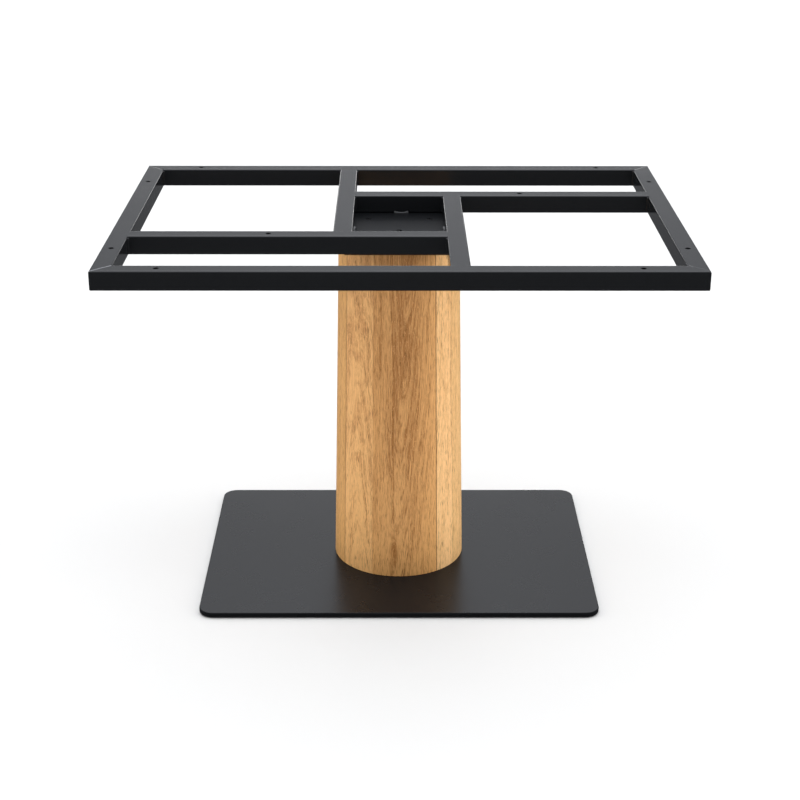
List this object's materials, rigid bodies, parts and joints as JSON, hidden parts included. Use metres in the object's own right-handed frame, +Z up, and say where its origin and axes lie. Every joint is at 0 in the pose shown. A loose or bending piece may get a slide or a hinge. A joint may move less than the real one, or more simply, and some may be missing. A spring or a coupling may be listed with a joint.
{
  "type": "pedestal table base",
  "caption": "Pedestal table base: a rectangular frame of black square steel tube with inner bars, on a tapered round oak column and a flat black steel floor plate.",
  "frame": {"origin": "on the floor, under the middle of the column and of the frame", "axes": "+Z up, +X along the frame's long side, -Y towards the side that the picture shows"},
  "size_m": [1.05, 0.74, 0.72],
  "materials": {
    "powder_coat": "satin black powder coat on steel",
    "oak": "oiled oak, turned and sanded",
    "zinc_steel": "bright zinc plated",
    "black_oxide": "black oxide",
    "glide": "matt black"
  },
  "bodies": {
    "root": {"base_plate": "powder_coat", "glide_front_left": "glide", "glide_front_right": "glide", "glide_back_left": "glide", "glide_back_right": "glide", "column_stave_1": "oak", "column_stave_2": "oak", "column_stave_3": "oak", "column_stave_4": "oak", "column_stave_5": "oak", "column_stave_6": "oak", "column_stave_7": "oak", "column_stave_8": "oak", "column_stave_9": "oak", "column_head_plate": "powder_coat", "tie_rod": "zinc_steel", "tie_rod_nut": "zinc_steel", "tie_rod_sleeve": "zinc_steel", "head_plate_screws": "zinc_steel", "base_plate_screws": "zinc_steel", "frame_mounting_plate": "powder_coat", "mounting_plate_bolts": "black_oxide", "mounting_plate_welds": "powder_coat", "front_rail": "powder_coat", "right_rail": "powder_coat", "back_rail": "powder_coat", "left_rail": "powder_coat", "front_left_bar": "powder_coat", "left_cross_bar": "powder_coat", "back_right_bar": "powder_coat", "right_cross_bar": "powder_coat", "frame_welds": "powder_coat"}
  },
  "joints": []
}
